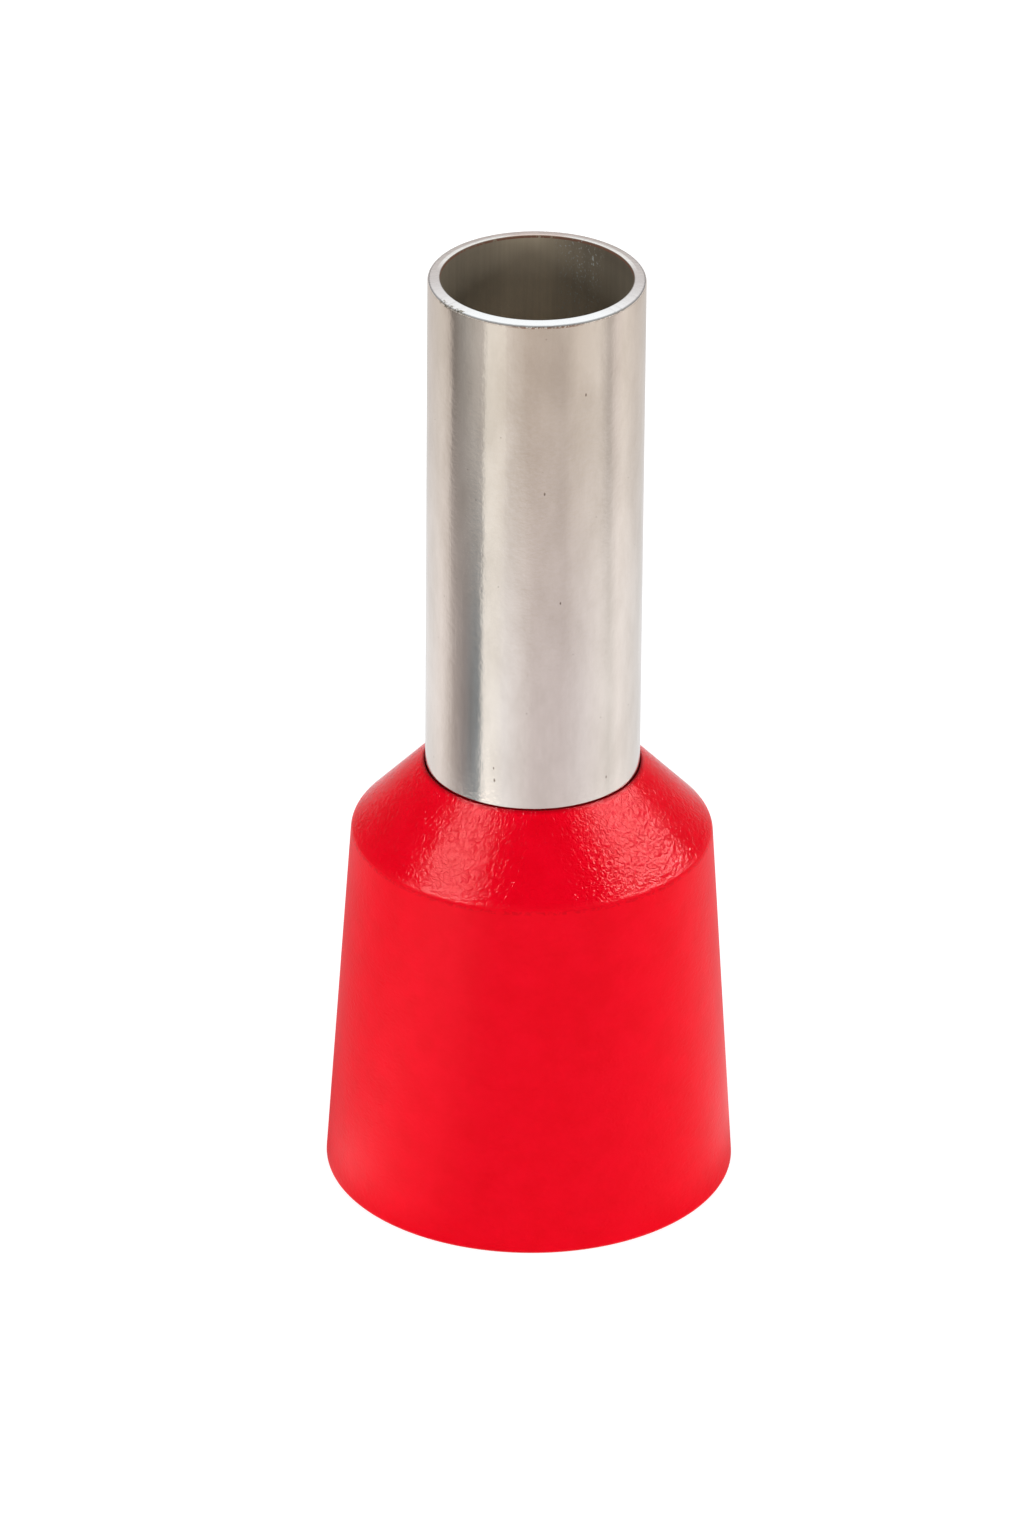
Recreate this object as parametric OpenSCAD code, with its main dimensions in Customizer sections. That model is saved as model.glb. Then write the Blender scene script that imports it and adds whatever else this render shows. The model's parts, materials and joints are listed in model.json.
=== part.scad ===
// Insulated wire-end ferrule for 10 mm2 stranded conductor: a thin drawn copper
// tube, tin plated, whose rear end is flared like a trumpet, and a moulded collar
// that seats on the flare and funnels the strands into the tube.
// The ferrule stands on the collar's mouth. Z runs up along the tube, and the
// origin is the centre of the mouth.

/* [Overall] */
// Length from the collar's mouth to the tube's tip
overall_l = 22; // [19:0.5:30]
// Length of the insulating collar, mouth to neck
collar_l = 10.1; // [8:0.1:12]

/* [Tube] */
// Clear bore that takes the twisted strands
bore_d = 4.22; // [3.2:0.02:4.8]
// Thickness of the tube's wall
tube_wall = 0.28; // [0.2:0.01:0.4]
// Rounding of the outer edge at the tip
tip_round = 0.07; // [0.04:0.01:0.15]
// Rounding of the inner edge at the tip
tip_inner_round = 0.04; // [0.01:0.01:0.05]
// Radius that the outside of the tube bends through where it flares
flare_bend_r = 0.6; // [0.3:0.05:0.7]
// Gap left between the flare's lip and the wall of the collar
flare_lip_gap = 0.25; // [0.05:0.05:0.4]

/* [Collar] */
// Outer diameter at the mouth
mouth_d = 9.17; // [8.6:0.01:10.5]
// Outer diameter at the shoulder, where the wall turns into the cone
shoulder_d = 8.07; // [7.6:0.01:8.6]
// Height of the cone, from shoulder to neck
cone_l = 1.68; // [1.3:0.02:2.2]
// Width of the flat ring at the neck, round the tube
neck_rim = 0.034; // [0.02:0.002:0.1]
// Thickness of the wall below the shoulder
collar_wall = 0.45; // [0.35:0.01:0.7]
// Thickness of the cone
cone_wall = 0.4; // [0.35:0.01:0.7]
// Rounding of the shoulder
shoulder_round = 0.2; // [0.1:0.05:0.5]
// Rounding of the mouth's outer edge
mouth_round = 0.12; // [0.05:0.01:0.2]
// Rounding of the mouth's inner edge, which leads the insulation in
mouth_lead_round = 0.2; // [0.05:0.01:0.3]
// Fillet inside, where the wall meets the funnel
inner_fillet = 0.2; // [0.05:0.05:0.4]

/* [Fit] */
// Clearance between the collar and the tube, at the neck and at the flare
seat_gap = 0.02; // [0.01:0.005:0.05]

/* [Hidden] */

// Facets round the axis in the preview, and the turn between points of a profile's arc
$fn = 160;
arc_step_deg = 10;

bore_r = bore_d / 2;
tube_r = bore_r + tube_wall;
neck_bore_r = tube_r + seat_gap;
neck_r = neck_bore_r + neck_rim;
mouth_r = mouth_d / 2;
shoulder_r = shoulder_d / 2;
shoulder_z = collar_l - cone_l;

// Each slanted surface is a line in the plane of the profile: [angle, distance], the
// angle that it leans from the axis and its distance from the origin.
draft_deg = atan((mouth_r - shoulder_r) / shoulder_z);
cone_deg = atan((shoulder_r - neck_r) / cone_l);
cone_distance = shoulder_r * cos(cone_deg) + shoulder_z * sin(cone_deg);

collar_inside = [draft_deg, mouth_r * cos(draft_deg) - collar_wall];
funnel = [cone_deg, cone_distance - cone_wall];
flare_outside = [cone_deg, cone_distance - cone_wall - seat_gap];
flare_inside = [cone_deg, cone_distance - cone_wall - seat_gap - tube_wall];

// The lip of the flare stops short of the corner between the collar's wall and funnel
lip_r = meet(collar_inside, funnel)[0] - flare_lip_gap;

// Height at which a slanted line passes radius r
function height_at(line, r) = (line[1] - r * cos(line[0])) / sin(line[0]);

// Point [r, z] where two slanted lines cross
function meet(a, b) =
    let (det = sin(b[0] - a[0]))
    [(a[1] * sin(b[0]) - b[1] * sin(a[0])) / det,
     (b[1] * cos(a[0]) - a[1] * cos(b[0])) / det];

// Arc of radius r that rounds corner p between its neighbours a and b
function rounded_corner(a, p, b, r) =
    let (u = (a - p) / norm(a - p),
         v = (b - p) / norm(b - p),
         half = acos(u * v) / 2,
         centre = p + (u + v) / norm(u + v) * r / sin(half),
         from = p + u * r / tan(half) - centre,
         to = p + v * r / tan(half) - centre,
         start = atan2(from[1], from[0]),
         turn = (atan2(to[1], to[0]) - start + 540) % 360 - 180,
         steps = max(1, ceil(abs(turn) / arc_step_deg)))
    [for (i = [0 : steps])
        centre + r * [cos(start + turn * i / steps), sin(start + turn * i / steps)]];

// Outline with each corner [r, z, rounding] turned into its arc
function rounded_outline(corners) =
    let (count = len(corners), points = [for (c = corners) [c[0], c[1]]])
    [for (i = [0 : count - 1])
        let (before = points[(i + count - 1) % count], after = points[(i + 1) % count])
        each corners[i][2] > 0
            ? rounded_corner(before, points[i], after, corners[i][2])
            : [points[i]]];

// Ring turned from a profile that is given by its corners
module turned(corners) {
    rotate_extrude() polygon(rounded_outline(corners));
}

// Drawn tube: straight pin, then a bend of even wall into the flare
module conductor_tube() {
    lip_outer = [lip_r, height_at(flare_outside, lip_r)];
    lip_inner = lip_outer - tube_wall * [cos(cone_deg), sin(cone_deg)];
    color([0.80, 0.77, 0.74])
        turned([
            [tube_r, overall_l, tip_round],
            [bore_r, overall_l, tip_inner_round],
            [bore_r, height_at(flare_inside, bore_r), flare_bend_r + tube_wall],
            [lip_inner[0], lip_inner[1], 0],
            [lip_outer[0], lip_outer[1], 0],
            [tube_r, height_at(flare_outside, tube_r), flare_bend_r],
        ]);
}

// Moulded collar: drafted wall, cone and neck outside, funnel that holds the flare inside
module insulating_collar() {
    inner_corner = meet(collar_inside, funnel);
    mouth_inner_r = collar_inside[1] / cos(draft_deg);
    color([0.86, 0.05, 0.09])
        turned([
            [mouth_r, 0, mouth_round],
            [shoulder_r, shoulder_z, shoulder_round],
            [neck_r, collar_l, 0],
            [neck_bore_r, collar_l, 0],
            [neck_bore_r, height_at(funnel, neck_bore_r), flare_bend_r - seat_gap],
            [inner_corner[0], inner_corner[1], inner_fillet],
            [mouth_inner_r, 0, mouth_lead_round],
        ]);
}

conductor_tube();
insulating_collar();
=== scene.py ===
"""Looks of the insulated wire-end ferrule: a tinned copper tube in a red moulded collar."""

import json
import math

import bpy
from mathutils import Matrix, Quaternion, Vector, noise


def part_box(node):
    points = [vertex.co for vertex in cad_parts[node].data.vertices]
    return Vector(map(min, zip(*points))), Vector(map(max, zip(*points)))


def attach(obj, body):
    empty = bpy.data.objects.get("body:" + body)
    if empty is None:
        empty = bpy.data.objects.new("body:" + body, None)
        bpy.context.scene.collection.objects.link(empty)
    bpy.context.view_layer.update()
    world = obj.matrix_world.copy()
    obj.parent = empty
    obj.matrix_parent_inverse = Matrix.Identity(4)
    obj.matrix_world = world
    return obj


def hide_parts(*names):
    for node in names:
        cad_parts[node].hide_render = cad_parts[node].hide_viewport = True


MM = 0.001
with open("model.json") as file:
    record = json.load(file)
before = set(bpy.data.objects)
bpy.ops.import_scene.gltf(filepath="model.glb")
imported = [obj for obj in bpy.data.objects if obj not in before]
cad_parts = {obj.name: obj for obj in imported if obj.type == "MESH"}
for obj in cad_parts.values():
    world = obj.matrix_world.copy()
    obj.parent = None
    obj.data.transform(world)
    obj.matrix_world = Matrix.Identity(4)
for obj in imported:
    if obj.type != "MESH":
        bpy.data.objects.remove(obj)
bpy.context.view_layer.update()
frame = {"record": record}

# ---------------------------------------------------------------- sizes, in millimetres

tube_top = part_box("conductor_tube")[1].z / MM
collar_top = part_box("insulating_collar")[1].z / MM
mounts = {mount["name"]: mount for mount in frame["record"]["mounts"]}
bore_r = mounts["conductor_bore"]["dims"]["r_mm"]
tube_r = mounts["contact_pin"]["dims"]["r_mm"]
tube_wall = tube_r - bore_r

# The rest of the part's driving sizes, as its source has them
tip_round = 0.07
tip_inner_round = 0.04
flare_bend_r = 0.6
flare_lip_gap = 0.25
mouth_r = 9.17 / 2
shoulder_r = 8.07 / 2
cone_l = 1.68
neck_rim = 0.034
collar_wall = 0.45
cone_wall = 0.4
shoulder_round = 0.2
mouth_round = 0.12
mouth_lead_round = 0.2
inner_fillet = 0.2
seat_gap = 0.02

neck_bore_r = tube_r + seat_gap
neck_r = neck_bore_r + neck_rim
shoulder_z = collar_top - cone_l
draft = math.atan((mouth_r - shoulder_r) / shoulder_z)
cone = math.atan((shoulder_r - neck_r) / cone_l)
cone_distance = shoulder_r * math.cos(cone) + shoulder_z * math.sin(cone)

# A slanted surface is a line in the profile's plane: its lean from the axis and its distance
collar_inside = (draft, mouth_r * math.cos(draft) - collar_wall)
funnel = (cone, cone_distance - cone_wall)
flare_outside = (cone, funnel[1] - seat_gap)
flare_inside = (cone, flare_outside[1] - tube_wall)

# The sawn end falls a little from the tube's inner edge to its outer one
tip_fall = 0.02
# Heights above which the sawn face, its outer edge and the nicked part of the wall lie
face_z = tube_top - 0.05
edge_z = tube_top - 0.10
nicked_z = tube_top - 0.12


def height_at(line, radius):
    """Height at which a slanted line passes a radius."""
    return (line[1] - radius * math.cos(line[0])) / math.sin(line[0])


def meet(one, other):
    """Radius and height at which two slanted lines cross."""
    across = math.sin(other[0] - one[0])
    radius = (one[1] * math.sin(other[0]) - other[1] * math.sin(one[0])) / across
    return radius, (other[1] * math.cos(one[0]) - one[1] * math.cos(other[0])) / across


# ---------------------------------------------------------------- turned meshes

ARC_STEP = math.radians(6)
SEGMENTS = 512
ROW_MAX = 0.25
SHARP_ANGLE = math.radians(30)


def rounded_corner(before, corner, after, radius):
    """Points of the arc that rounds a corner between its two neighbours."""
    back = (before - corner).normalized()
    ahead = (after - corner).normalized()
    half = math.acos(max(-1, min(1, back.dot(ahead)))) / 2
    centre = corner + (back + ahead).normalized() * radius / math.sin(half)
    arm = corner + back * radius / math.tan(half) - centre
    end = corner + ahead * radius / math.tan(half) - centre
    turn = math.atan2(arm.x * end.y - arm.y * end.x, arm.dot(end))
    steps = max(2, math.ceil(abs(turn) / ARC_STEP))
    points = []
    for i in range(steps + 1):
        cosine, sine = math.cos(turn * i / steps), math.sin(turn * i / steps)
        turned_arm = Vector((arm.x * cosine - arm.y * sine, arm.x * sine + arm.y * cosine))
        points.append(centre + turned_arm)
    return points


def rounded_outline(corners):
    """Outline of (r, z, rounding) corners with its arcs, and its long straights split into rows."""
    points = [Vector(corner[:2]) for corner in corners]
    outline = []
    for i, corner in enumerate(corners):
        before, after = points[i - 1], points[(i + 1) % len(points)]
        if corner[2] > 0:
            outline += rounded_corner(before, points[i], after, corner[2])
        else:
            outline.append(points[i])
    rows = []
    for i, start in enumerate(outline):
        end = outline[(i + 1) % len(outline)]
        parts = max(1, math.ceil((end - start).length / ROW_MAX))
        rows += [start.lerp(end, k / parts) for k in range(parts)]
    return rows


def turned(name, corners, shift=None):
    """Ring turned about Z from an outline; shift(point, angle) may move each point a little."""
    rows = rounded_outline(corners)
    verts = []
    for row in rows:
        for k in range(SEGMENTS):
            angle = 2 * math.pi * k / SEGMENTS
            point = Vector((row.x * math.sin(angle), -row.x * math.cos(angle), row.y))
            if shift:
                point += shift(point, angle)
            verts.append(point * MM)
    faces = []
    for i in range(len(rows)):
        low, high = i * SEGMENTS, (i + 1) % len(rows) * SEGMENTS
        for k in range(SEGMENTS):
            after = (k + 1) % SEGMENTS
            faces.append((low + k, low + after, high + after, high + k))
    mesh = bpy.data.meshes.new(name)
    mesh.from_pydata(verts, [], faces)
    mesh.validate()
    mesh.shade_smooth()
    mesh.set_sharp_from_angle(angle=SHARP_ANGLE)
    piece = bpy.data.objects.new(name, mesh)
    bpy.context.scene.collection.objects.link(piece)
    if signed_volume(mesh) < 0:
        mesh.flip_normals()
    return piece


def signed_volume(mesh):
    """Volume inside the mesh, negative if its faces look inward."""
    mesh.calc_loop_triangles()
    total = 0
    for triangle in mesh.loop_triangles:
        a, b, c = (mesh.vertices[i].co for i in triangle.vertices)
        total += a.dot(b.cross(c))
    return total / 6


# ---------------------------------------------------------------- pieces

# Nicks in the tube's outer edge: azimuth and half width in degrees, depth in millimetres
NICKS = (
    (-59.0, 1.2, 0.014),
    (-55.5, 1.8, 0.024),
    (-52.0, 1.0, 0.014),
    (-48.5, 2.2, 0.020),
    (-43.0, 1.2, 0.014),
    (-12.0, 1.0, 0.012),
    (8.0, 1.6, 0.012),
    (47.0, 1.0, 0.020),
    (52.0, 1.3, 0.015),
)
# Unevenness of that edge: its waves in a radian, its depth, and the part of the wall that stays
# even, from the bore outward
ROUGH_WAVES = 22
ROUGH_DEPTH = 0.008
EVEN_WALL = 0.14


def ragged_tip(point, angle):
    """Moves the sawn end's outer edge in and down by its unevenness and its nicks."""
    edge = max(0, 1 - (tube_top - point.z) / (tip_fall + tip_round))
    beyond = max(0, math.hypot(point.x, point.y) - bore_r - EVEN_WALL)
    outer = beyond / (tube_wall - EVEN_WALL)
    ring = Vector((math.sin(angle), math.cos(angle), 0))
    rough = abs(noise.noise(ring * ROUGH_WAVES) * ROUGH_DEPTH)
    chip = 0
    for azimuth, width, depth in NICKS:
        away = (math.degrees(angle) - azimuth + 180) % 360 - 180
        chip += depth * math.exp(-((away / width) ** 2))
    inward = Vector((-point.x, -point.y, 0)).normalized()
    return (inward - Vector((0, 0, 1))) * edge * outer * (rough + chip)


def make_tube():
    """The drawn tube: pin, bend and flare."""
    lip_r = meet(collar_inside, funnel)[0] - flare_lip_gap
    lip_z = height_at(flare_outside, lip_r)
    lip_inner_r = lip_r - tube_wall * math.cos(cone)
    lip_inner_z = lip_z - tube_wall * math.sin(cone)
    corners = [
        (tube_r, tube_top - tip_fall, tip_round),
        (bore_r, tube_top, tip_inner_round),
        (bore_r, height_at(flare_inside, bore_r), flare_bend_r + tube_wall),
        (lip_inner_r, lip_inner_z, 0),
        (lip_r, lip_z, 0),
        (tube_r, height_at(flare_outside, tube_r), flare_bend_r),
    ]
    return turned("drawn_tube", corners, ragged_tip)


def make_collar():
    """The moulded collar: drafted wall, cone and neck outside, funnel inside."""
    corner_r, corner_z = meet(collar_inside, funnel)
    corners = [
        (mouth_r, 0, mouth_round),
        (shoulder_r, shoulder_z, shoulder_round),
        (neck_r, collar_top, 0),
        (neck_bore_r, collar_top, 0),
        (neck_bore_r, height_at(funnel, neck_bore_r), flare_bend_r - seat_gap),
        (corner_r, corner_z, inner_fillet),
        (collar_inside[1] / math.cos(draft), 0, mouth_lead_round),
    ]
    return turned("moulded_collar", corners)


# ---------------------------------------------------------------- material helpers


def rgb(red, green, blue):
    return (red, green, blue, 1.0)


def greys(levels):
    """Azimuths with grey levels, as azimuths with colours."""
    return [(azimuth, (level, level, level)) for azimuth, level in levels]


class Net:
    """Short calls that add shader nodes to one material or world."""

    def __init__(self, owner):
        self.tree = owner.node_tree
        self.tree.nodes.clear()
        world = isinstance(owner, bpy.types.World)
        self.out = self.tree.nodes.new("ShaderNodeOutput" + ("World" if world else "Material"))
        self.coords = None

    def put(self, socket, value):
        """Links value into socket if it is a socket, and sets it otherwise."""
        if isinstance(value, bpy.types.NodeSocket):
            self.tree.links.new(value, socket)
        else:
            socket.default_value = value

    def node(self, kind, inputs=None, **settings):
        made = self.tree.nodes.new(kind)
        for key, value in settings.items():
            setattr(made, key, value)
        for key, value in (inputs or {}).items():
            self.put(made.inputs[key], value)
        return made

    def math(self, operation, a, b=0.0):
        return self.node("ShaderNodeMath", {0: a, 1: b}, operation=operation).outputs[0]

    def times(self, first, *others):
        """Product of two or more values."""
        for other in others:
            first = self.math("MULTIPLY", first, other)
        return first

    def away(self, value, middle):
        """Distance between two values."""
        return self.math("ABSOLUTE", self.math("SUBTRACT", value, middle))

    def length(self, x, y):
        squares = self.math("ADD", self.times(x, x), self.times(y, y))
        return self.math("SQRT", squares)

    # Places on the object, in millimetres and degrees

    def place(self):
        """Position on the object."""
        if self.coords is None:
            source = self.node("ShaderNodeTexCoord").outputs["Object"]
            scaled = self.node("ShaderNodeVectorMath", operation="SCALE")
            self.put(scaled.inputs[0], source)
            scaled.inputs["Scale"].default_value = 1 / MM
            self.coords = scaled.outputs[0]
        return self.coords

    def stretched(self, factors):
        """The position with each axis multiplied, for grain that runs one way."""
        made = self.node("ShaderNodeVectorMath", operation="MULTIPLY")
        self.put(made.inputs[0], self.place())
        made.inputs[1].default_value = factors
        return made.outputs[0]

    def axes(self):
        return self.node("ShaderNodeSeparateXYZ", {0: self.place()}).outputs

    def height(self):
        return self.axes()["Z"]

    def radius(self):
        x, y, z = self.axes()
        return self.length(x, y)

    def azimuth(self):
        """Degrees round the axis: 0 at the front, 90 on the right as seen from there."""
        x, y, z = self.axes()
        turn = self.math("ARCTAN2", x, self.times(y, -1.0))
        return self.math("DEGREES", turn)

    def wrapped(self, mean_radius, across, along):
        """Arc round the axis at a mean radius, and height, each multiplied."""
        arc = self.times(self.azimuth(), math.radians(1) * mean_radius * across)
        rise = self.times(self.height(), along)
        return self.node("ShaderNodeCombineXYZ", {"X": arc, "Z": rise}).outputs[0]

    def above(self, height, soft):
        """1 above a height and 0 below it, changing over soft on either side."""
        return self.spread(self.height(), height - soft, height + soft)

    def within(self, radius, soft):
        """1 inside a radius and 0 outside it, changing over soft on either side."""
        return self.spread(self.radius(), radius - soft, radius + soft, 1.0, 0.0)

    def facing(self, azimuth, near, far, at_near=1.0, at_far=0.0):
        """at_near up to near degrees from an azimuth, and at_far from far degrees on."""
        return self.spread(self.away(self.azimuth(), azimuth), near, far, at_near, at_far)

    # Values, colours and normals

    def spread(self, value, low, high, to_low=0.0, to_high=1.0, smooth=False):
        """value mapped from low..high to to_low..to_high, held at the ends."""
        inputs = {"Value": value, "From Min": low, "From Max": high}
        inputs.update({"To Min": to_low, "To Max": to_high})
        made = self.node("ShaderNodeMapRange", inputs)
        made.interpolation_type = "SMOOTHSTEP" if smooth else "LINEAR"
        return made.outputs["Result"]

    def noise(self, scale, detail=2.0, roughness=0.5, at=None, distortion=0.0):
        inputs = {"Vector": at or self.place(), "Scale": scale, "Detail": detail}
        inputs.update({"Roughness": roughness, "Distortion": distortion})
        return self.node("ShaderNodeTexNoise", inputs).outputs["Fac"]

    def ramp(self, value, stops):
        made = self.node("ShaderNodeValToRGB", {"Fac": value})
        elements = made.color_ramp.elements
        while len(elements) < len(stops):
            elements.new(0.5)
        for element, (position, colour) in zip(elements, stops):
            element.position = position
            element.color = colour
        return made.outputs["Color"]

    def by_azimuth(self, shades):
        """Colour that changes round the axis through (azimuth, colour) shades."""
        turn = self.spread(self.azimuth(), -180, 180)
        return self.ramp(turn, [((degrees + 180) / 360, rgb(*shade)) for degrees, shade in shades])

    def mix(self, factor, a, b, how="MIX"):
        """Colour a turning into colour b, or b laid over a, as factor goes from 0 to 1."""
        made = self.node("ShaderNodeMix", data_type="RGBA", blend_type=how)
        # The colour sockets go by number, because those of other types have the same names
        self.put(made.inputs["Factor"], factor)
        self.put(made.inputs[6], a)
        self.put(made.inputs[7], b)
        return made.outputs[2]

    def tint(self, factor, a, b):
        """Colour a multiplied by colour b as factor goes from 0 to 1."""
        return self.mix(factor, a, b, "MULTIPLY")

    def bump(self, height, depth, normal=None):
        """Normal of a surface whose height, from 0 to 1, is depth millimetres."""
        made = self.node("ShaderNodeBump", {"Height": height, "Distance": depth * MM})
        if normal is not None:
            self.put(made.inputs["Normal"], normal)
        return made.outputs["Normal"]

    # Shaders

    def glow(self, kind, colour, strength=1.0):
        """Shader that shines by itself: Emission, or Background in a world."""
        return self.node("ShaderNode" + kind, {"Color": colour, "Strength": strength}).outputs[0]

    def diffuse(self, grey):
        return self.node("ShaderNodeBsdfDiffuse", {"Color": rgb(grey, grey, grey)}).outputs[0]

    def blend(self, factor, a, b):
        return self.node("ShaderNodeMixShader", {0: factor, 1: a, 2: b}).outputs[0]

    def surface(self, shader):
        self.tree.links.new(shader, self.out.inputs["Surface"])


# ---------------------------------------------------------------- materials


def material_of(name, build):
    """Material whose nodes build(net) adds."""
    material = bpy.data.materials.new(name)
    material.use_nodes = True
    build(Net(material))
    return material


# Pits in the tin: azimuth in degrees, height and size in millimetres
PITS = (
    (27, 20.2, 0.020),
    (5, 17.9, 0.020),
    (14, 15.2, 0.018),
    (-20.5, 10.75, 0.022),
    (-21, 11.05, 0.016),
    (43, 10.6, 0.018),
)
# Specks are small dots in cells of the surface: cells in a millimetre, the share of cells
# that has one, and how much of a pit's darkness they have
SPECK_CELLS = 2.6
SPECK_SHARE = 0.4
SPECK_DARKNESS = 0.45


def specks(net):
    """1 in small dots that are scattered over the surface, 0 elsewhere."""
    cells = net.node("ShaderNodeTexVoronoi", {"Vector": net.place(), "Scale": SPECK_CELLS})
    draw = net.math("FRACT", net.times(cells.outputs["Color"], 7))
    chosen = net.math("LESS_THAN", draw, SPECK_SHARE)
    return net.times(chosen, net.spread(cells.outputs["Distance"], 0.03, 0.06, 1.0, 0.0))


def pits(net):
    """1 in the tin's listed pits, less in its specks, 0 elsewhere."""
    found = net.times(specks(net), SPECK_DARKNESS)
    for azimuth, height, size in PITS:
        across = net.math("SUBTRACT", net.azimuth(), azimuth)
        rise = net.math("SUBTRACT", net.height(), height)
        away = net.length(net.times(across, math.radians(1) * tube_r), net.times(rise, 0.5))
        found = net.math("MAXIMUM", found, net.spread(away, size * 0.6, size * 1.3, 1.0, 0.0))
    return found


# Azimuths of the worn places on the sawn end's edge and of the scratched one in the bore
BURRED_AZIMUTH = 6
NICKED_AZIMUTH = -51
SCRATCHED_AZIMUTH = 153
# Depths of the tin's relief: slow waves, grain and drawing marks
WAVE_DEPTH = 0.008
GRAIN_DEPTH = 0.003
MARK_DEPTH = 0.0015


def drawing_marks(net):
    """Fine streaks that run along the tube."""
    return net.noise(8.0, 3.0, 0.6, net.stretched((1, 1, 0.04)))


def burrs(net):
    """Noise that breaks up the marks on the sawn edges."""
    return net.noise(14.0, 2.0, 0.6)


def tin_colour(net):
    """Tin in slow clouds of two shades, with dark pits."""
    cloud = net.noise(1.3, 4.0, 0.6, net.stretched((1, 1, 0.4)))
    tin = net.mix(net.spread(cloud, 0.35, 0.65), rgb(0.745, 0.68, 0.61), rgb(0.85, 0.785, 0.715))
    return net.tint(pits(net), tin, rgb(0.40, 0.36, 0.34))


def sawn_light_and_colour(net):
    """The sawn face in painted light and shade: bright in front, duller and redder behind, with a
    painted highlight inside at the back.
    """
    # Painted light and shade round the face, from bright in front to duller and redder behind
    face = net.ramp(net.facing(0, 0, 180, 0.0, 1.0), [
        (0.20, rgb(0.93, 0.93, 0.94)),
        (0.48, rgb(0.67, 0.61, 0.595)),
        (0.72, rgb(0.70, 0.61, 0.57)),
        (0.92, rgb(0.86, 0.71, 0.66)),
    ])
    # Painted highlight on the inner part of the face at the back
    behind = net.times(net.facing(0, 158, 168), net.facing(0, 98, 112, 0.0, 1.0))
    bright = net.times(behind, net.within(bore_r + 0.11, 0.02))
    return net.mix(bright, face, rgb(0.99, 0.95, 0.92))


def worn_edge(net, colour):
    """Colour with copper burrs along the face's outer edge and dark nicks on its left."""
    edge = net.times(net.above(edge_z, 0.005), net.math("SUBTRACT", 1, net.above(face_z, 0.005)))
    front = net.facing(BURRED_AZIMUTH, 12, 22, 1.0, 0.25)
    burred = net.times(edge, net.spread(burrs(net), 0.42, 0.50), front)
    colour = net.mix(burred, colour, rgb(0.42, 0.29, 0.23))
    left = net.times(net.facing(NICKED_AZIMUTH, 9, 12), net.above(nicked_z, 0.02))
    outer = net.spread(net.radius(), tube_r - 0.09, tube_r - 0.06)
    nicked = net.times(left, outer, net.spread(burrs(net), 0.52, 0.60))
    return net.mix(nicked, colour, rgb(0.30, 0.27, 0.22))


# Painted light and shade on the bore's wall by azimuth, near its top and deeper
BORE_LIGHT_TOP = (
    (-180, 0.85), (-164, 0.75), (-150, 0.52), (-130, 0.42), (0, 0.40),
    (131, 0.30), (148, 0.36), (163, 0.55), (180, 0.85),
)
BORE_LIGHT_DEEP = (
    (-180, 0.80), (-160, 0.83), (-150, 0.72), (-130, 0.60), (0, 0.50),
    (131, 0.50), (148, 0.58), (163, 0.66), (180, 0.80),
)


def bore_colour_and_light(net):
    """The bore's dull wall: streaked, scratched at the right of its back, and in painted light that
    makes it paler deeper down.
    """
    # Painted light: the wall paler deeper down, against the shade there, and lighter or darker by
    # azimuth
    deep = net.spread(net.height(), tube_top - 0.2, tube_top - 1.8)
    wall = net.mix(deep, rgb(0.58, 0.485, 0.355), rgb(0.97, 0.83, 0.625))
    light = net.mix(deep, net.by_azimuth(greys(BORE_LIGHT_TOP)), net.by_azimuth(greys(BORE_LIGHT_DEEP)))
    wall = net.tint(1.0, wall, light)
    wall = net.tint(net.spread(drawing_marks(net), 0.35, 0.65), wall, rgb(0.90, 0.90, 0.91))
    scratch = net.noise(20.0, 2.0, 0.7, net.stretched((1, 1, 0.6)), 0.6)
    scratched = net.times(net.spread(scratch, 0.60, 0.68), net.facing(SCRATCHED_AZIMUTH, 8, 18))
    return net.mix(scratched, wall, rgb(0.55, 0.58, 0.56))


def bare_copper(net):
    """1 on a broken line of bare copper along the bore's upper edge, behind, 0 elsewhere."""
    rise = net.spread(net.height(), tube_top - 0.075, tube_top - 0.06)
    fall = net.spread(net.height(), tube_top - 0.02, tube_top - 0.01, 1.0, 0.0)
    line = net.times(rise, fall, net.within(bore_r + 0.026, 0.004))
    return net.times(line, net.facing(0, 70, 100, 0.0, 1.0), net.spread(burrs(net), 0.36, 0.46))


def tinned_copper(net):
    """Drawn tube: bright tin outside, sawn and worn at its end, dull in the bore, with painted
    light on the end and in the bore.
    """
    outside = net.mix(net.above(face_z, 0.005), tin_colour(net), sawn_light_and_colour(net))
    outside = worn_edge(net, outside)
    bore = net.within(bore_r + 0.02, 0.01)
    colour = net.mix(bore, outside, bore_colour_and_light(net))
    colour = net.mix(bare_copper(net), colour, rgb(0.24, 0.12, 0.08))
    marks = drawing_marks(net)
    polish = net.spread(marks, 0.3, 0.7, 0.10, 0.15)
    waves = net.noise(1.1, 2.0, 0.5, net.stretched((1, 1, 0.5)))
    grain = net.noise(8.0, 3.0, 0.65)
    relief = net.bump(grain, GRAIN_DEPTH, net.bump(waves, WAVE_DEPTH))
    net.surface(net.node("ShaderNodeBsdfPrincipled", {
        "Base Color": colour,
        "Metallic": net.spread(bore, 0, 1, 1.0, 0.45),
        "Roughness": net.spread(bore, 0, 1, polish, 0.75),
        "Normal": net.bump(marks, MARK_DEPTH, relief),
    }).outputs[0])


# Wrinkles of the cone: its mean radius, their number in a millimetre round it and along the
# axis, and their depth
CONE_MEAN_R = 3.2
WRINKLES_ROUND = 8.5
WRINKLES_ALONG = 11.0
WRINKLE_DEPTH = 0.018
# Height of the broken dark line of painted shade under the shoulder
SHOULDER_SHADE_Z = shoulder_z - 0.04


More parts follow.
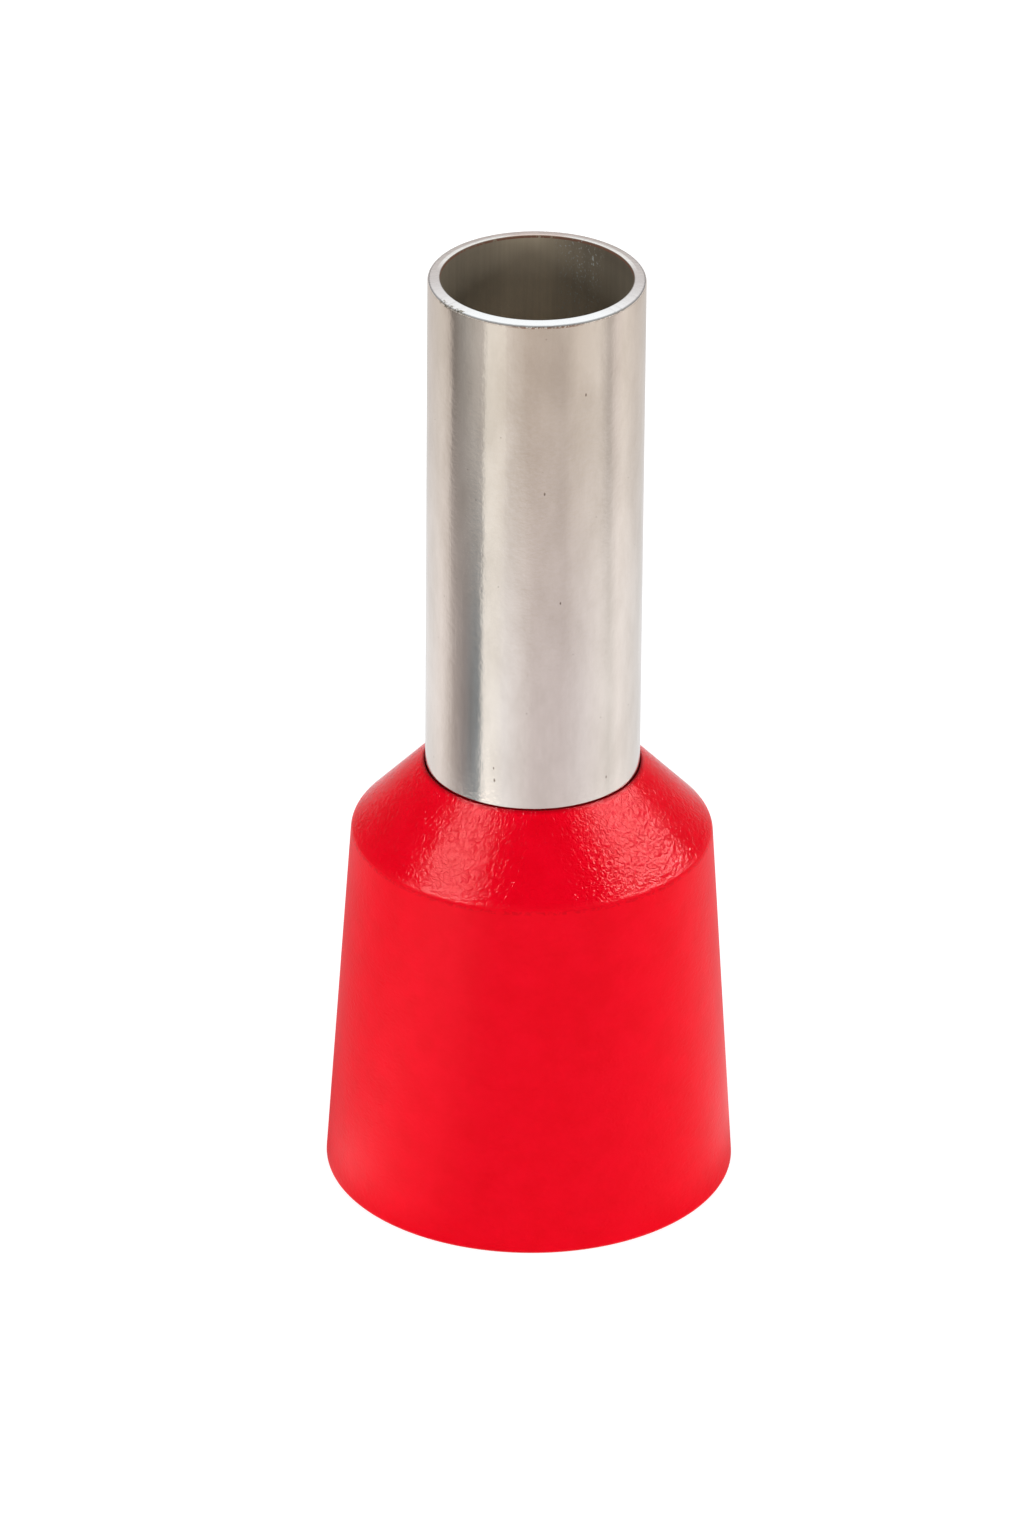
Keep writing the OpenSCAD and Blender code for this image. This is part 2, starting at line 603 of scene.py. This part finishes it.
def red_plastic(net):
    """Moulded collar: a satin side, a glossier, finely wrinkled cone, and painted shade at the neck
    and under the shoulder.
    """
    on_cone = net.spread(net.height(), shoulder_z - 0.05, shoulder_z + 0.15)
    wrapped = net.wrapped(CONE_MEAN_R, WRINKLES_ROUND, WRINKLES_ALONG)
    wrinkle = net.noise(1.0, 1.0, 0.5, wrapped, 1.1)
    speckle = net.noise(14.0, 1.0, 0.5)
    cloud = net.noise(1.6, 5.0, 0.6)
    shade = net.spread(cloud, 0.35, 0.65)
    colour = net.mix(shade, rgb(0.82, 0.0002, 0.010), rgb(0.87, 0.0006, 0.013))
    # Painted shade: the collar darker round the neck's bore, where the gap to the tube lies
    colour = net.tint(net.within(neck_bore_r + 0.06, 0.04), colour, rgb(0.48, 0.5, 0.5))
    # Painted shade: a broken dark line under the shoulder's rounding
    line = net.spread(net.away(net.height(), SHOULDER_SHADE_Z), 0.02, 0.06, 1.0, 0.0)
    shoulder_shade = net.times(line, net.spread(wrinkle, 0.42, 0.58))
    colour = net.tint(shoulder_shade, colour, rgb(0.84, 0.84, 0.84))
    skin = net.math("ADD", wrinkle, net.times(speckle, 0.2))
    skin = net.times(skin, net.spread(on_cone, 0, 1, 0.4, 1.0))
    net.surface(net.node("ShaderNodeBsdfPrincipled", {
        "Base Color": colour,
        "Specular IOR Level": net.spread(on_cone, 0, 1, 0.080, 0.033),
        "Roughness": net.spread(on_cone, 0, 1, 0.36, 0.11),
        "Normal": net.bump(skin, WRINKLE_DEPTH),
    }).outputs[0])


# ---------------------------------------------------------------- camera and room

# The camera and its aim, from the middle of the part: AIM_RIGHT and AIM_UP lie in the picture
MIDDLE = Vector((0, 0, 11))
CAMERA_ELEVATION = math.radians(27.94)
CAMERA_DISTANCE = 266.5
CAMERA_ROLL = math.radians(0.49)
LENS = 281.25
SENSOR = 36.0
AIM_RIGHT = -0.454
AIM_UP = -1.0

# Radiance of the room as a light, and of what reflections see of it: a wide, soft panel
# behind and above, from the dark beside it to its middle
ROOM_RADIANCE = 0.39
PANEL_ELEVATION = 60
PANEL_RADIANCE = (0.40, 1.05)
# Cosines of the angle from the panel's middle at which it ends and is full
PANEL_END = 0.60
PANEL_FULL = 0.92

FLOOR_RADIUS = 900
FLOOR_GLOW = 0.85
FLOOR_SHADE = 0.4
FLOOR_PLAIN = 0.8


def make_camera():
    """The photograph's view: level, from the front and above, with a long lens."""
    back = Vector((0, -math.cos(CAMERA_ELEVATION), math.sin(CAMERA_ELEVATION)))
    up = Vector((0, math.sin(CAMERA_ELEVATION), math.cos(CAMERA_ELEVATION)))
    place = MIDDLE + back * CAMERA_DISTANCE
    aim = MIDDLE + Vector((1, 0, 0)) * AIM_RIGHT + up * AIM_UP
    data = bpy.data.cameras.new("camera")
    data.lens = LENS
    data.sensor_width = SENSOR
    data.clip_start = 0.01
    data.clip_end = 10
    camera = bpy.data.objects.new("camera", data)
    camera.location = place * MM
    turn = (aim - place).to_track_quat("-Z", "Y") @ Quaternion((0, 0, 1), CAMERA_ROLL)
    camera.rotation_euler = turn.to_euler()
    bpy.context.scene.collection.objects.link(camera)
    bpy.context.scene.camera = camera


def direction(azimuth, elevation):
    """Unit vector towards an azimuth (0 is the camera's side, 90 its right) and elevation."""
    turn, rise = math.radians(azimuth), math.radians(elevation)
    level = math.cos(rise)
    return Vector((math.sin(turn) * level, -math.cos(turn) * level, math.sin(rise)))


def make_world():
    """White to the camera, a plain room as a light, and a soft panel for reflections."""
    world = bpy.data.worlds.new("studio")
    world.use_nodes = True
    net = Net(world)
    towards = net.node("ShaderNodeVectorMath", operation="DOT_PRODUCT")
    net.put(towards.inputs[0], net.node("ShaderNodeTexCoord").outputs["Generated"])
    towards.inputs[1].default_value = direction(180, PANEL_ELEVATION)
    cosine = towards.outputs["Value"]
    panel = net.spread(cosine, PANEL_END, PANEL_FULL, *PANEL_RADIANCE, smooth=True)
    light = net.glow("Background", rgb(1, 1, 1), ROOM_RADIANCE)
    mirrored = net.glow("Background", rgb(0.98, 1.0, 1.0), panel)
    seen = net.glow("Background", rgb(1, 1, 1))
    path = net.node("ShaderNodeLightPath").outputs
    unseen = net.blend(path["Is Glossy Ray"], light, mirrored)
    net.surface(net.blend(path["Is Camera Ray"], unseen, seen))
    bpy.context.scene.world = world


def pale_floor(net):
    """A glow over a faint shadow to the camera and reflections, a plain grey to other light."""
    both = net.node("ShaderNodeAddShader")
    net.put(both.inputs[0], net.glow("Emission", rgb(1, 1, 1), FLOOR_GLOW))
    net.put(both.inputs[1], net.diffuse(FLOOR_SHADE))
    path = net.node("ShaderNodeLightPath").outputs
    seen = net.math("MAXIMUM", path["Is Camera Ray"], path["Is Glossy Ray"])
    net.surface(net.blend(seen, net.diffuse(FLOOR_PLAIN), both.outputs[0]))


def make_floor():
    bpy.ops.mesh.primitive_circle_add(vertices=64, radius=FLOOR_RADIUS * MM, fill_type="NGON")
    floor = bpy.context.object
    floor.name = "floor"
    floor.data.materials.append(material_of("floor", pale_floor))


# ---------------------------------------------------------------- glowing ring of painted reflections

# A glowing ring lies on the floor round the ferrule, and only reflections see it: painted
# reflections of a studio. These are its shades by azimuth, near the ferrule and farther out: the
# foot of the tube mirrors the near ones and its top the far ones.
NEAR_SHADES = (
    (-180, (0.85, 0.86, 0.88)),
    (-134, (0.88, 0.87, 0.89)),
    (-112, (0.95, 0.91, 0.92)),
    (-100, (0.76, 0.71, 0.71)),
    (-88, (0.46, 0.42, 0.42)),
    (-76, (0.30, 0.28, 0.29)),
    (-63, (0.23, 0.26, 0.29)),
    (-56, (0.29, 0.33, 0.37)),
    (-53, (1.00, 1.00, 1.00)),
    (-40, (1.00, 1.00, 1.00)),
    (-30, (0.91, 0.91, 0.95)),
    (-12, (0.85, 0.82, 0.85)),
    (0, (0.74, 0.69, 0.72)),
    (30, (0.70, 0.65, 0.68)),
    (50, (0.81, 0.78, 0.82)),
    (75, (0.91, 0.89, 0.91)),
    (86, (0.84, 0.83, 0.84)),
    (98, (1.00, 0.98, 1.00)),
    (118, (0.90, 0.89, 0.91)),
    (140, (0.81, 0.81, 0.83)),
    (180, (0.85, 0.86, 0.88)),
)
FAR_SHADES = (
    (-180, (0.66, 0.64, 0.63)),
    (-138, (0.70, 0.66, 0.64)),
    (-117, (0.78, 0.74, 0.71)),
    (-102, (0.66, 0.61, 0.58)),
    (-95, (0.24, 0.22, 0.21)),
    (-81, (0.36, 0.35, 0.34)),
    (-66, (0.52, 0.50, 0.48)),
    (-56, (0.58, 0.55, 0.53)),
    (-53, (0.90, 0.88, 0.84)),
    (-32, (0.87, 0.83, 0.78)),
    (-28, (0.74, 0.69, 0.65)),
    (-7, (0.60, 0.53, 0.48)),
    (28, (0.59, 0.53, 0.49)),
    (45, (0.72, 0.66, 0.61)),
    (69, (0.79, 0.74, 0.70)),
    (82, (0.52, 0.48, 0.46)),
    (92, (0.80, 0.74, 0.72)),
    (104, (0.85, 0.80, 0.76)),
    (125, (0.72, 0.67, 0.64)),
    (180, (0.66, 0.64, 0.63)),
)
# Grey levels of the ring's innermost part, which the collar's side mirrors, as shares of
# CLOSE_RADIANCE
CLOSE_SHADES = (
    (-180, 0.10), (-120, 0.12), (-92, 0.21), (-70, 0.75), (-42, 0.80), (-24, 0.17),
    (10, 0.16), (56, 0.32), (95, 0.33), (137, 0.17), (180, 0.10),
)
CLOSE_RADIANCE = 4.0
# Radii between which the innermost part turns into the near shades, and those into the far ones
CLOSE_TO_NEAR = (17.5, 19.5)
NEAR_TO_FAR = (27, 43)
# The ring's glow is darker close to the foot, a painted shadow: from this radius out to one of
# two, the second of which holds on the left behind
FOOT_DARK = 0.25
FOOT_START = 4.8
FOOT_END = 5.8
FOOT_END_BEHIND = 9.0

CARD_INNER = 3.5
CARD_OUTER = 160.0
CARD_LIFT = 0.1
CARD_PARTS = 72


def painted_reflections(net):
    """Glow of the ring, painted reflections by azimuth and radius."""
    # Painted reflections: the ring's glow by azimuth, close in, near and farther out
    close = net.by_azimuth(greys(CLOSE_SHADES))
    close = net.tint(1.0, close, rgb(CLOSE_RADIANCE, CLOSE_RADIANCE, CLOSE_RADIANCE))
    # Painted shadow: the ring's glow darker close to the foot, and farther out on the left behind
    behind = net.spread(net.azimuth(), -115, -95, 1.0, 0.0)
    foot_end = net.spread(behind, 0, 1, FOOT_END, FOOT_END_BEHIND)
    foot_shadow = net.spread(net.radius(), FOOT_START, foot_end, FOOT_DARK, 1.0)
    close = net.mix(foot_shadow, rgb(0, 0, 0), close)
    outward = net.spread(net.radius(), *NEAR_TO_FAR)
    shade = net.mix(outward, net.by_azimuth(NEAR_SHADES), net.by_azimuth(FAR_SHADES))
    shade = net.mix(net.spread(net.radius(), *CLOSE_TO_NEAR), close, shade)
    net.surface(net.glow("Emission", shade))


def make_card():
    """The glowing ring of painted reflections, which only reflections see."""
    verts, faces = [], []
    for k in range(CARD_PARTS):
        outward = direction(k * 360 / CARD_PARTS, 0)
        for radius in (CARD_INNER, CARD_OUTER):
            verts.append((outward * radius + Vector((0, 0, CARD_LIFT))) * MM)
        after = (k + 1) % CARD_PARTS
        faces.append((2 * k, 2 * after, 2 * after + 1, 2 * k + 1))
    mesh = bpy.data.meshes.new("card")
    mesh.from_pydata(verts, [], faces)
    mesh.materials.append(material_of("card", painted_reflections))
    card = bpy.data.objects.new("card", mesh)
    card.visible_camera = False
    card.visible_diffuse = False
    card.visible_transmission = False
    card.visible_shadow = False
    bpy.context.scene.collection.objects.link(card)


# ---------------------------------------------------------------- lamps

# Fill lights: azimuth, elevation and radiance
FILLS = (
    (-70, 15, 25),
    (74, 12, 27),
    (0, 10, 11),
    (180, 15, 16),
)
FILL_DISTANCE = 250
FILL_SIZE = (60, 60)

# Softboxes that the cone mirrors: azimuth, elevation, width and tilt
SHINES = (
    (-70, 49, 70, 24),
    (100, 42, 117, -28),
)
SHINE_DISTANCE = 130
SHINE_HEIGHT = 50
SHINE_RADIANCE = 65
SHINE_COLOUR = (1.0, 0.6, 0.6)

# Softbox that lies on the floor and that the left of the collar's side mirrors
GLOW_AZIMUTH = -57
GLOW_DISTANCE = 32
GLOW_SIZE = (17, 26)
GLOW_RADIANCE = 2.2
GLOW_LIFT = 0.2


def softbox(name, azimuth, elevation, distance, size, radiance, tilt=0):
    """Lamp size[0] wide and size[1] high that faces the object, with the given radiance."""
    data = bpy.data.lights.new(name, "AREA")
    data.shape = "RECTANGLE"
    data.size = size[0] * MM
    data.size_y = size[1] * MM
    data.energy = radiance * math.pi * data.size * data.size_y
    lamp = bpy.data.objects.new(name, data)
    towards = direction(azimuth, elevation)
    lamp.location = (MIDDLE + towards * distance) * MM
    facing = (-towards).to_track_quat("-Z", "Y")
    lamp.rotation_euler = (facing @ Quaternion((0, 0, 1), math.radians(tilt))).to_euler()
    lamp.visible_camera = False
    bpy.context.scene.collection.objects.link(lamp)
    return lamp


def mirrored_only(lamp, receivers):
    """Lets a lamp show only as a reflection on the receivers."""
    lamp.visible_diffuse = False
    lamp.light_linking.receiver_collection = receivers


def make_fills():
    """Plain light from all sides, which shows in no reflection."""
    for azimuth, elevation, radiance in FILLS:
        lamp = softbox("fill_light", azimuth, elevation, FILL_DISTANCE, FILL_SIZE, radiance)
        lamp.visible_glossy = False


def make_shines(receivers):
    """The softboxes whose reflections lie on the collar."""
    for azimuth, elevation, width, tilt in SHINES:
        size = (width, SHINE_HEIGHT)
        lamp = softbox("shine", azimuth, elevation, SHINE_DISTANCE, size, SHINE_RADIANCE, tilt)
        lamp.data.color = SHINE_COLOUR
        mirrored_only(lamp, receivers)
    lamp = softbox("glow", GLOW_AZIMUTH, 0, GLOW_DISTANCE, GLOW_SIZE, GLOW_RADIANCE)
    lamp.location.z = GLOW_LIFT * MM
    lamp.rotation_euler = (math.pi, 0, math.radians(-GLOW_AZIMUTH))
    mirrored_only(lamp, receivers)


# ---------------------------------------------------------------- the scene

bpy.context.scene.view_settings.view_transform = "Standard"

make_camera()
make_world()
make_floor()
make_card()
make_fills()

tube = make_tube()
tube.data.materials.append(material_of("tinned_copper", tinned_copper))
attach(tube, "root")
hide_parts("conductor_tube")

collar = make_collar()
collar.data.materials.append(material_of("red_plastic", red_plastic))
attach(collar, "root")
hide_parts("insulating_collar")

plastic = bpy.data.collections.new("plastic")
plastic.objects.link(collar)
make_shines(plastic)
